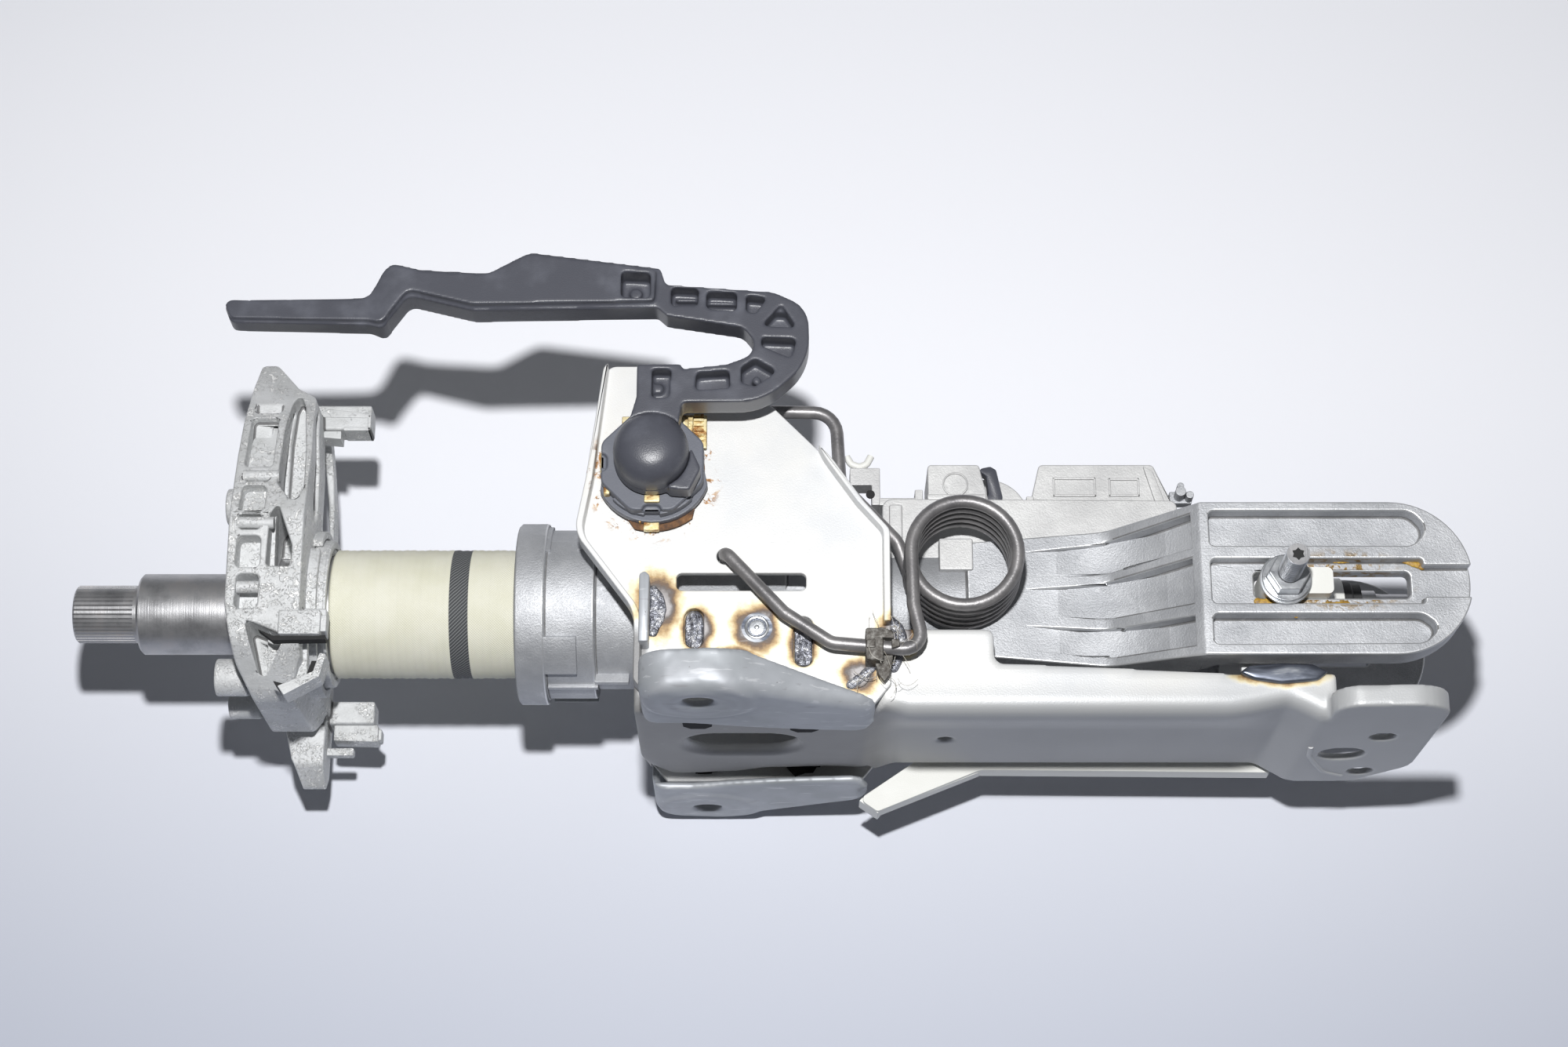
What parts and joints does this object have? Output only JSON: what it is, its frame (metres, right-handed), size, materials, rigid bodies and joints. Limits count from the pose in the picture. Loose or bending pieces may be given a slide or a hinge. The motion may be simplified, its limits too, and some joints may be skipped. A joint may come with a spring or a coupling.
{
  "type": "adjustable steering column",
  "caption": "Steering column with tilt and reach adjustment: pressed bracket, sliding casting, splined spindle, clamp lever and coiled balance spring.",
  "frame": {"origin": "spindle axis at its wheel end face", "axes": "+X along the spindle from the wheel end to the lower end; +Y from the bracket's mounting face towards the column; +Z out of the side that carries the clamp lever"},
  "size_m": [0.517, 0.1814, 0.178],
  "materials": {
    "plated_sheet": "white zinc plated pressed steel, satin",
    "grey_sheet": "passivated pressed steel, satin grey",
    "cast_alloy": "die cast, fine grained and dull",
    "lock_alloy": "die cast, pale and matt",
    "carrier_alloy": "die cast magnesium, pale with white bloom",
    "turned_steel": "turned and dull, slightly oiled",
    "woven_tape": "cream woven sleeve with one dark stripe",
    "black_plastic": "glass filled plastic, finely grained",
    "dark_plastic": "moulded plastic, dull",
    "white_plastic": "acetal, slightly glossy",
    "spring_steel": "phosphated spring wire",
    "zinc_hardware": "blue zinc plated",
    "brass_tint": "yellow passivated",
    "seal_rubber": "dull rubber",
    "bearing_steel": "ground steel"
  },
  "bodies": {
    "bracket": {"rail_channel": "plated_sheet", "side_plate_near": "plated_sheet", "side_plate_far": "plated_sheet", "mount_ear_near": "grey_sheet", "mount_ear_far": "grey_sheet", "pivot_cradle": "plated_sheet", "pivot_studs": "turned_steel", "pivot_nuts": "zinc_hardware", "pivot_washers": "zinc_hardware", "balance_spring": "spring_steel", "guide_strip": "white_plastic", "spring_clip": "zinc_hardware"},
    "tilt_carrier": {"slider_block_near": "white_plastic", "slider_block_far": "white_plastic", "clamp_bolt": "zinc_hardware", "clamp_washer": "zinc_hardware", "clamp_nut": "zinc_hardware", "cam_ring": "dark_plastic"},
    "column": {"column_housing": "cast_alloy", "lock_housing": "lock_alloy", "lock_bolt": "turned_steel", "lock_spring": "spring_steel", "lock_barrel": "lock_alloy", "switch_carrier": "carrier_alloy", "jacket_tube": "bearing_steel", "woven_sleeve": "woven_tape", "upper_bearing": "bearing_steel", "lower_bearing": "bearing_steel"},
    "spindle": {"upper_spindle": "turned_steel", "lower_spindle": "turned_steel", "lock_ring": "bearing_steel", "shaft_collar": "white_plastic", "shaft_seal": "seal_rubber"},
    "key_rotor": {"lock_rotor": "zinc_hardware"},
    "lever": {"lever_arm": "black_plastic", "dome_cap": "black_plastic"},
    "pressure": {"pressure_disc": "brass_tint"}
  },
  "joints": [
    {"name": "tilt", "type": "hinge", "parent": "bracket", "child": "tilt_carrier", "pos_m": [0.4487, -0.0035, 0], "axis": [0, 0, 1], "range_deg": [-2, 2], "deforming": ["balance_spring"]},
    {"name": "reach", "type": "slide", "parent": "tilt_carrier", "child": "column", "axis": [1, 0, 0], "range_m": [-0.028, 0.001]},
    {"name": "wheel_spin", "type": "hinge", "parent": "column", "child": "spindle", "pos_m": [0, 0, 0], "axis": [1, 0, 0], "continuous": true},
    {"name": "key_turn", "type": "hinge", "parent": "column", "child": "key_rotor", "pos_m": [0.345, 0.04, 0], "axis": [0, 0, 1], "range_deg": [0, 110]},
    {"name": "lever_swing", "type": "hinge", "parent": "tilt_carrier", "child": "lever", "pos_m": [0.219, 0.039, 0], "axis": [0, 0, 1], "range_deg": [-55, 0]},
    {"name": "clamp_press", "type": "slide", "parent": "tilt_carrier", "child": "pressure", "axis": [0, 0, 1], "range_m": [-0.0012, 0]}
  ],
  "couplings": [
    {"joint": "clamp_press", "follows": "lever_swing", "m_per_rad": 0.00115}
  ]
}
